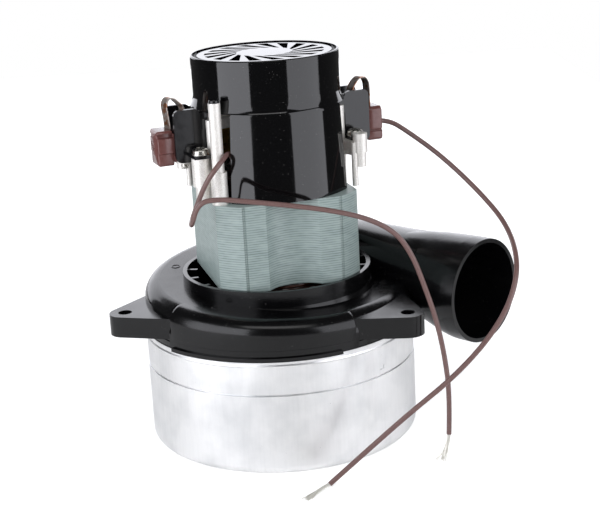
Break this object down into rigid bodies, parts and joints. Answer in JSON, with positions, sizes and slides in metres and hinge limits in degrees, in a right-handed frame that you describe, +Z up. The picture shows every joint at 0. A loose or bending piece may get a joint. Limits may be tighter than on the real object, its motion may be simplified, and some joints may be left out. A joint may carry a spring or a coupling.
{
  "type": "vacuum motor",
  "caption": "Three stage tangential bypass vacuum motor with a steel fan shell, side discharge horn, brush motor under a slotted fan cover and two supply leads.",
  "frame": {"origin": "centre of the inlet hole in the flat bottom of the fan shell", "axes": "+Z up along the motor shaft, away from the inlet; +X along the discharge horn, the way the air blows out"},
  "size_m": [0.2047, 0.1783, 0.205],
  "materials": {
    "shell_steel": "bare galvanised steel, faint draw marks",
    "housing_plastic": "black glossy moulding",
    "cover_plastic": "black glossy moulding",
    "gasket_rubber": "black foam rubber",
    "fan_aluminium": "pressed sheet",
    "bright_steel": "bright steel",
    "stack_paint": "pale grey green dip paint over laminations",
    "coil_copper": "varnished copper wire",
    "commutator_copper": "turned copper bars",
    "insulation": "paper and resin insulation",
    "cast_bracket": "die cast, satin",
    "holder_plastic": "black satin moulding",
    "block_brown": "brown phenolic, satin",
    "tube_brass": "sheet brass",
    "carbon": "pressed carbon",
    "strap_copper": "tinned copper strip",
    "lead_brown": "brown insulation, satin",
    "tinned_wire": "tinned strands"
  },
  "bodies": {
    "stator": {"lower_fan_shell": "shell_steel", "upper_fan_shell": "shell_steel", "horn_housing": "housing_plastic", "fan_cover": "cover_plastic", "housing_gasket": "gasket_rubber", "guide_plate_1": "fan_aluminium", "guide_plate_2": "fan_aluminium", "lower_bearing_outer_race": "bright_steel", "upper_bearing_outer_race": "bright_steel", "field_laminations": "stack_paint", "field_coil_front": "coil_copper", "field_coil_back": "coil_copper", "slot_liners": "insulation", "commutator_bracket": "cast_bracket", "through_bolts": "bright_steel", "brush_holder_left": "holder_plastic", "brush_holder_right": "holder_plastic", "brush_block_left": "block_brown", "brush_block_right": "block_brown", "brush_tube_left": "tube_brass", "brush_tube_right": "tube_brass", "brush_strap_left": "strap_copper", "brush_strap_right": "strap_copper", "holder_washers": "bright_steel", "holder_screws": "bright_steel", "lead_right": "lead_brown", "lead_left": "lead_brown", "lead_right_strands": "tinned_wire", "lead_left_strands": "tinned_wire"},
    "rotor": {"shaft": "bright_steel", "fan_spacers": "bright_steel", "fan_washer": "bright_steel", "fan_nut": "bright_steel", "impeller_1": "fan_aluminium", "impeller_2": "fan_aluminium", "impeller_3": "fan_aluminium", "lower_bearing_inner_race": "bright_steel", "upper_bearing_inner_race": "bright_steel", "armature_core": "bright_steel", "armature_winding": "coil_copper", "commutator": "commutator_copper", "commutator_bush": "insulation", "cooling_fan": "fan_aluminium"},
    "lower_bearing_cage": {"lower_bearing_balls": "bright_steel"},
    "upper_bearing_cage": {"upper_bearing_balls": "bright_steel"},
    "brush_left": {"carbon_brush_left": "carbon", "brush_spring_left": "bright_steel"},
    "brush_right": {"carbon_brush_right": "carbon", "brush_spring_right": "bright_steel"}
  },
  "joints": [
    {"name": "rotor_spin", "type": "hinge", "parent": "stator", "child": "rotor", "pos_m": [0, 0, 0.111], "axis": [0, 0, 1], "continuous": true},
    {"name": "lower_bearing_spin", "type": "hinge", "parent": "stator", "child": "lower_bearing_cage", "pos_m": [0, 0, 0.071], "axis": [0, 0, 1], "continuous": true},
    {"name": "upper_bearing_spin", "type": "hinge", "parent": "stator", "child": "upper_bearing_cage", "pos_m": [0, 0, 0.18], "axis": [0, 0, 1], "continuous": true},
    {"name": "brush_left_slide", "type": "slide", "parent": "stator", "child": "brush_left", "axis": [-0.4274, -0.9041, 0], "range_m": [0, 0.003], "stiffness_N_per_m": 300, "springref_m": -0.01},
    {"name": "brush_right_slide", "type": "slide", "parent": "stator", "child": "brush_right", "axis": [0.4274, 0.9041, 0], "range_m": [0, 0.003], "stiffness_N_per_m": 300, "springref_m": -0.01}
  ],
  "couplings": [
    {"joint": "lower_bearing_spin", "follows": "rotor_spin", "ratio": 0.3864},
    {"joint": "upper_bearing_spin", "follows": "rotor_spin", "ratio": 0.3853}
  ]
}
